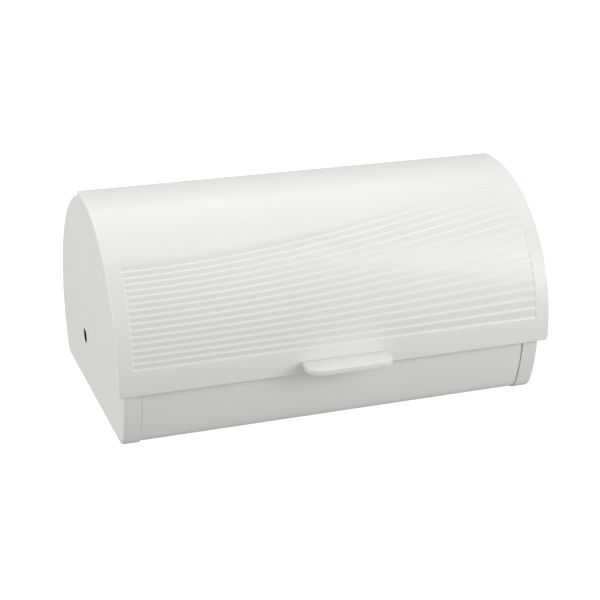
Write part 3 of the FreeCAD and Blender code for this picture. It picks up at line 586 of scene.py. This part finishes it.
front_top = asin((front_high.z - body_axis[1]) / SHEET_RADIUS)
front = rolled_sheet("front_sheet", -1, front_top)
shell = rolled_sheet("back_sheet", 1, pi - acos(SHELL_LEAD / SHEET_RADIUS))

# The box's coat is a little duller than the lid's, so the front and the back keep to broad, soft shading.
box_coat = powder_coat("white_powder_coat_box", "#EFEEEA", "#EAE9E4", gloss=0.38)
for piece, node in ((front, "front_panel"), (shell, "back_shell")):
    piece.data.materials.append(box_coat)
    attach(piece, "box")
    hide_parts(node)


def finish_node(node, material):
    """Put a material on a CAD node that stays in view."""
    frame["nodes"][node].data.materials.clear()
    frame["nodes"][node].data.materials.append(material)


for node in ("base_pan", "lid_arm_left", "lid_arm_right"):
    finish_node(node, box_coat)

# ---------------------------------------------------------------- pins, nuts and screws
# The pivot pins, their nuts and all the screws are steel, turned or cold headed, and zinc plated, the rest
# bright; the pins are drawn in a darker zinc as painted shade for the shadow in their recesses. The pins pass
# through the side panels. The base and rear screws are driven from outside, and the handle's from inside the
# lid.

ZINC_MARKS, ZINC_MARKS_HEIGHT = 0.4 * MM, 0.01 * MM
ZINC_GLOSS_LOW, ZINC_GLOSS_HIGH = 0.28, 0.42


def zinc_plate(name, colour):
    """Zinc plate on turned or headed steel, whose fine marks break up its sheen and vary its gloss."""
    material, tree = new_material(name)
    place = add_node(tree, "TexCoord").outputs["Object"]
    marks = add_node(tree, "TexNoise", {"Scale": 1 / ZINC_MARKS, "Detail": 3.0}, {"Vector": place})
    bump = add_node(tree, "Bump", {"Strength": 0.2, "Distance": ZINC_MARKS_HEIGHT},
                    {"Height": marks.outputs["Fac"]})
    rough = add_node(tree, "MapRange", {"To Min": ZINC_GLOSS_LOW, "To Max": ZINC_GLOSS_HIGH},
                     {"Value": marks.outputs["Fac"]})
    shader = add_node(tree, "BsdfPrincipled", {"Base Color": linear(colour), "Metallic": 1.0},
                      {"Roughness": rough.outputs["Result"], "Normal": bump.outputs["Normal"]})
    add_node(tree, "OutputMaterial", links={"Surface": shader.outputs["BSDF"]})
    return material


CROSS_WAIST = 0.9  # the cross recess narrows by this towards its middle
CROSS_DEPTH = 0.55  # its depth, as a share of the head's height
TIP_RADIUS = 0.02 * MM


def fastener(radius, height, dome, cross, shank, length):
    """A turned fastener along Z with its head's top at z = 0: a head with a rounded edge and a cross
    recess, and a plain shank below it."""
    mesh = bmesh.new()
    bmesh.ops.create_grid(mesh, x_segments=3, y_segments=3, size=1.5)
    corners = [face for face in mesh.faces if min(abs(face.calc_center_median().x),
                                                  abs(face.calc_center_median().y)) > 0.5]
    bmesh.ops.delete(mesh, geom=corners, context="FACES")
    for vertex in mesh.verts:
        outer = max(abs(vertex.co.x), abs(vertex.co.y)) > 1
        vertex.co *= cross / 3 * (1 if outer else CROSS_WAIST)
    slots = mesh.faces[:]
    outline = [edge for edge in mesh.edges if edge.is_boundary]
    ring = circle(mesh, radius - dome, 48, Matrix())
    bmesh.ops.triangle_fill(mesh, edges=outline + ring, use_beauty=True, use_dissolve=False, normal=(0, 0, 1))
    push(mesh, slots, (0, 0, -CROSS_DEPTH * height))
    bmesh.ops.delete(mesh, geom=slots, context="FACES_ONLY")
    profile = [(radius - dome + along, -drop) for along, drop in quarter(dome, 4)[1:]]
    end = -height - length
    profile += [(radius, -height), (shank, -height), (shank, end), (TIP_RADIUS, end)]
    for reach, depth in profile:
        tips, ring = extend(mesh, ring)
        for vertex in tips:
            way = Vector((vertex.co.x, vertex.co.y, 0)).normalized()
            vertex.co = way * reach + Vector((0, 0, depth))
    bmesh.ops.contextual_create(mesh, geom=ring)
    return mesh


def set_fasteners(name, body, node, material, spots, **sizes):
    """Copies of a fastener as one piece, each given as (head's top, direction out of the head)."""
    whole = bmesh.new()
    for spot, way in spots:
        one = fastener(**sizes)
        turn = Vector(way).to_track_quat("Z", "Y").to_matrix().to_4x4()
        bmesh.ops.transform(one, matrix=Matrix.Translation(spot) @ turn, verts=one.verts)
        holder = bpy.data.meshes.new("copy")
        one.to_mesh(holder)
        one.free()
        whole.from_mesh(holder)
        bpy.data.meshes.remove(holder)
    piece = finished(name, whole, sharp=35)
    piece.data.materials.append(material)
    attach(piece, body)
    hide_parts(node)


# Bright zinc looks a cool light grey. The pins' darker zinc is painted shade: it keeps them dark in their
# recesses, which are only in shadow.
zinc = zinc_plate("bright_zinc_plate", "#B4B5B8")
zinc_darkened_as_shade = zinc_plate("zinc_plate_darkened_as_shade", "#77787A")

PIN_HEAD_RADIUS, PIN_HEAD, PIN_DOME, PIN_CROSS = 6.0 * MM, 3.0 * MM, 0.8 * MM, 6.0 * MM
PIN_RADIUS = 3.0 * MM
# The pins take the darker zinc, as painted shade for their shadowed recesses.
for name, side in (("left", -1), ("right", 1)):
    low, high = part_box(f"pivot_pin_{name}")
    set_fasteners(f"shoulder_pin_{name}", "box", f"pivot_pin_{name}", zinc_darkened_as_shade,
                  [((high.x if side > 0 else low.x, *pivot), (side, 0, 0))], radius=PIN_HEAD_RADIUS,
                  height=PIN_HEAD, dome=PIN_DOME, cross=PIN_CROSS, shank=PIN_RADIUS,
                  length=high.x - low.x - PIN_HEAD)

SCREW_HEAD = 1.0 * MM
screw = {"radius": 3.0 * MM, "height": SCREW_HEAD, "dome": 0.4 * MM, "cross": 3.2 * MM, "shank": 1.5 * MM}

low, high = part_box("base_screws")
spots = [((side * screw_x, body_axis[0] + step * BASE_SCREW_PITCH, low.z), (0, 0, -1))
         for side in (-1, 1) for step in (-1, 0, 1)]
set_fasteners("base_fixings", "box", "base_screws", zinc, spots, length=high.z - low.z - SCREW_HEAD, **screw)

REAR_SCREW_TURNS = (0, radians(50))
REAR_SCREW_LENGTH = 5.0 * MM
head_reach = SHEET_RADIUS + SCREW_HEAD
spots = [((side * screw_x, body_axis[0] + head_reach * cos(turn), body_axis[1] + head_reach * sin(turn)),
          (0, cos(turn), sin(turn))) for side in (-1, 1) for turn in REAR_SCREW_TURNS]
set_fasteners("rear_fixings", "box", "rear_screws", zinc, spots, length=REAR_SCREW_LENGTH, **screw)

low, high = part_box("handle_screws")
across = high.x - screw["radius"]
spots = [((side * across, high.y, (low.z + high.z) / 2), (0, 1, 0)) for side in (-1, 1)]
set_fasteners("handle_fixings", "lid", "handle_screws", zinc, spots, length=high.y - low.y - SCREW_HEAD,
              **screw)

for node in ("pivot_nut_left", "pivot_nut_right"):
    finish_node(node, zinc)

# ---------------------------------------------------------------- rubber and nylon
# The feet, the buttons under the closed arms and the stops behind the open ones are moulded black rubber.
# A thin sheet of the same black lines each pivot recess as painted shade. The washers beside the arms are
# natural nylon.

SOFT_GRAIN, SOFT_GRAIN_HEIGHT = 0.5 * MM, 0.03 * MM


def soft_plastic(name, colour, gloss):
    """Moulded rubber or nylon with a fine mould grain, which spreads its highlights. gloss is its
    roughness."""
    material, tree = new_material(name)
    place = add_node(tree, "TexCoord").outputs["Object"]
    grain = add_node(tree, "TexNoise", {"Scale": 1 / SOFT_GRAIN, "Detail": 3.0}, {"Vector": place})
    bump = add_node(tree, "Bump", {"Strength": 0.3, "Distance": SOFT_GRAIN_HEIGHT},
                    {"Height": grain.outputs["Fac"]})
    shader = add_node(tree, "BsdfPrincipled", {"Base Color": linear(colour), "Roughness": gloss},
                      {"Normal": bump.outputs["Normal"]})
    add_node(tree, "OutputMaterial", links={"Surface": shader.outputs["BSDF"]})
    return material


# The rubber is almost black and has no highlight, and the same black is painted shade in the pivot recesses;
# the nylon is a warm off-white with a slight wax sheen.
rubber_and_shade_black = soft_plastic("black_rubber_and_painted_shade", "#2A2A2B", gloss=0.75)
nylon = soft_plastic("natural_nylon", "#E9E5DA", gloss=0.5)
for node in frame["nodes"]:
    if node.startswith(("foot_", "bumper_", "stop_")):
        finish_node(node, rubber_and_shade_black)
    if node.startswith("pivot_spacer"):
        finish_node(node, nylon)

SHADE_LINER_WALL = 0.25 * MM
SHADE_LINER_PLAY = 0.02 * MM

# A thin black sheet inside each pivot recess: painted shade, standing in for the shadow that fills the
# recess.
for name, side in (("left", -1), ("right", 1)):
    mesh = bmesh.new()
    shade_liner_radius = RECESS_RADIUS - SHADE_LINER_PLAY
    ring = circle(mesh, shade_liner_radius, RECESS_SEGMENTS, facing_along_pivot(panel_face - RECESS_EDGE))
    ring = ring_in(mesh, ring, RECESS_EDGE + SHADE_LINER_PLAY - RECESS_DEPTH, shade_liner_radius)
    ring_in(mesh, ring, 0, PIN_HEAD_RADIUS)
    bmesh.ops.recalc_face_normals(mesh, faces=mesh.faces)
    bmesh.ops.solidify(mesh, geom=mesh.faces[:], thickness=SHADE_LINER_WALL)
    if side < 0:
        bmesh.ops.scale(mesh, vec=(-1, 1, 1), verts=mesh.verts)
    shade_liner = finished(f"recess_painted_shade_{name}", mesh)
    shade_liner.data.materials.append(rubber_and_shade_black)
    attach(shade_liner, "box")

# ---------------------------------------------------------------- floor, light and camera
# A pale paper floor curves up into a wall all round, out of the way of the lamps. Strip lights hang over
# the box, and softboxes stand in front of it and to its left.

FLOOR_RADIUS = 5.0
FLOOR_CURVE = 1.0
WALL_HEIGHT = 4.0

floor_mesh = bmesh.new()
line = [floor_mesh.verts.new((0, 0, 0)), floor_mesh.verts.new((FLOOR_RADIUS, 0, 0))]
floor_mesh.edges.new(line)
tip = bmesh.ops.spin(floor_mesh, geom=line[1:], cent=(FLOOR_RADIUS, 0, FLOOR_CURVE), axis=(0, -1, 0),
                     angle=pi / 2, steps=12)["geom_last"]
tip = bmesh.ops.extrude_vert_indiv(floor_mesh, verts=[v for v in tip if isinstance(v, bmesh.types.BMVert)])
bmesh.ops.translate(floor_mesh, verts=tip["verts"], vec=(0, 0, WALL_HEIGHT))
bmesh.ops.spin(floor_mesh, geom=floor_mesh.verts[:] + floor_mesh.edges[:], cent=(0, 0, 0), axis=(0, 0, 1),
               angle=2 * pi, steps=96, use_merge=True)
floor = finished("floor", floor_mesh)
floor.data.flip_normals()
floor.visible_diffuse = False
floor.visible_glossy = False
floor.visible_shadow = False

# Matt white paper, lit from within so that it stays one even white with no horizon.
paper, tree = new_material("white_paper")
shader = add_node(tree, "BsdfPrincipled", {"Base Color": linear("#8A8A8A"), "Roughness": 0.9,
                                           "Emission Color": linear("#FFFFFF"), "Emission Strength": 1.0})
add_node(tree, "OutputMaterial", links={"Surface": shader.outputs["BSDF"]})
floor.data.materials.append(paper)

SKY, GROUND = 0.45, 0.405
HORIZON = 0.1  # the room's light changes from ground to sky within this of level

world = bpy.data.worlds.new("studio")
bpy.context.scene.world = world
world.use_nodes = True
tree = world.node_tree
tree.nodes.clear()
way = add_node(tree, "TexCoord").outputs["Generated"]
height = add_node(tree, "SeparateXYZ", links={"Vector": way}).outputs["Z"]
level = add_node(tree, "MapRange",
                 {"From Min": -HORIZON, "From Max": HORIZON, "To Min": GROUND, "To Max": SKY},
                 {"Value": height})
room = add_node(tree, "Background", {"Color": linear("#FFFFFF")}, {"Strength": level.outputs["Result"]})
add_node(tree, "OutputWorld", links={"Surface": room.outputs["Background"]})


def softbox(name, spot, size, power):
    """A rectangular area light that faces the middle of the box."""
    lamp = bpy.data.lights.new(name, "AREA")
    lamp.shape = "RECTANGLE"
    lamp.size, lamp.size_y = size
    lamp.energy = power
    holder = bpy.data.objects.new(name, lamp)
    holder.location = spot
    holder.rotation_euler = (Vector((0, *body_axis)) - Vector(spot)).to_track_quat("-Z", "Y").to_euler()
    bpy.context.scene.collection.objects.link(holder)


STRIP, SMALL_BOX, BOX, LARGE_BOX = (1.6, 0.4), (0.5, 0.4), (0.8, 0.8), (1.2, 1.2)
for name, spot, size, power in (
        ("high_behind", (0, 0.75, 1.4), STRIP, 3.4),
        ("overhead_rear", (0, 0.3, 1.5), STRIP, 2.2),
        ("overhead_front", (0, -0.25, 1.5), STRIP, 2.3),
        ("low_key", (0.6, -1.1, 0.75), SMALL_BOX, 1.6),
        ("front_left", (-0.5, -1.7, 0.7), BOX, 1.3),
        ("front_right", (1.3, -1.3, 0.5), BOX, 10.5),
        ("left", (-1.8, 0.1, 0.7), LARGE_BOX, 15.7)):
    softbox(name, spot, size, power)

# The camera's place and its aim are measured from below the box's axis, at the side panels' lowest edge.
below_axis = Vector((0, body_axis[0], panel_low.z))
CAMERA_FROM, CAMERA_AIM = Vector((-0.4314, -1.2355, 0.5535)), Vector((0, -0.0160, 0.0828))
camera = bpy.data.cameras.new("camera")
camera.lens = 87.8
camera.sensor_width = 36
camera.shift_x = 0.0044
camera.shift_y = -0.0105
camera_holder = bpy.data.objects.new("camera", camera)
camera_holder.location = below_axis + CAMERA_FROM
camera_holder.rotation_euler = (CAMERA_AIM - CAMERA_FROM).to_track_quat("-Z", "Y").to_euler()
bpy.context.scene.collection.objects.link(camera_holder)
bpy.context.scene.camera = camera_holder
bpy.context.scene.view_settings.view_transform = "Standard"
